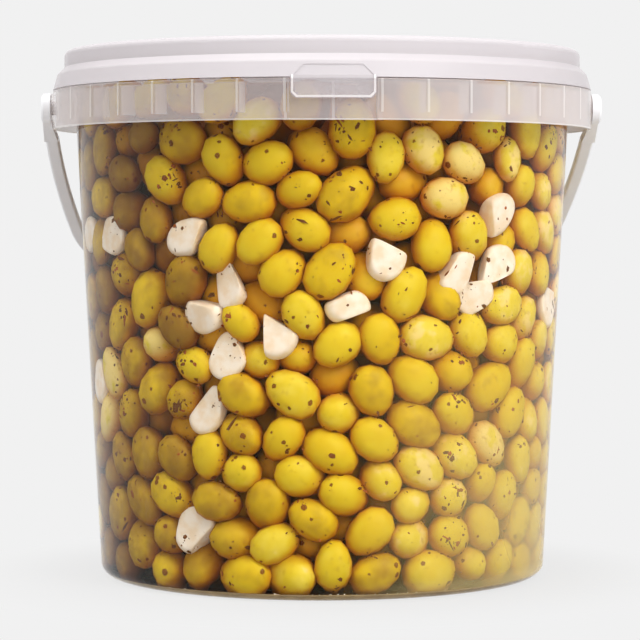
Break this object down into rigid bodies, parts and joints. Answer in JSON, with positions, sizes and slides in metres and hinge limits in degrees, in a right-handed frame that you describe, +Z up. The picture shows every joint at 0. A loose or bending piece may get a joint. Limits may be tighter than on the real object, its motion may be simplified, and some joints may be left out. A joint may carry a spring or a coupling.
{
  "type": "bucket of green olives",
  "caption": "Clear plastic pail of green olives with garlic and herbs in brine, closed with a milky push-on lid, and with a folding bail handle.",
  "frame": {"origin": "on the pail's axis, in the plane that the pail stands on", "axes": "+Z up along the pail's axis, -Y towards the lid's pull tab, X along the line through the bail's pivots"},
  "size_m": [0.2494, 0.2394, 0.2325],
  "materials": {
    "clear_plastic": "clear natural polypropylene, glossy, a little milky at the collar",
    "milky_plastic": "milky translucent polypropylene, satin",
    "handle_plastic": "milky white polypropylene, satin",
    "olives": "smooth waxy skin, yellow green with brown specks",
    "garlic": "smooth cut garlic, cream",
    "herbs": "dried herb flecks, dark brown",
    "brine": "clear yellow brine with oil"
  },
  "bodies": {
    "pail": {"pail": "clear_plastic", "lid": "milky_plastic", "olives_in_brine": "olives"},
    "handle": {"handle": "handle_plastic"}
  },
  "joints": [
    {"name": "bail_hinge", "type": "hinge", "parent": "pail", "child": "handle", "pos_m": [0, 0, 0.2076], "axis": [1, 0, 0], "range_deg": [0, 254]}
  ]
}
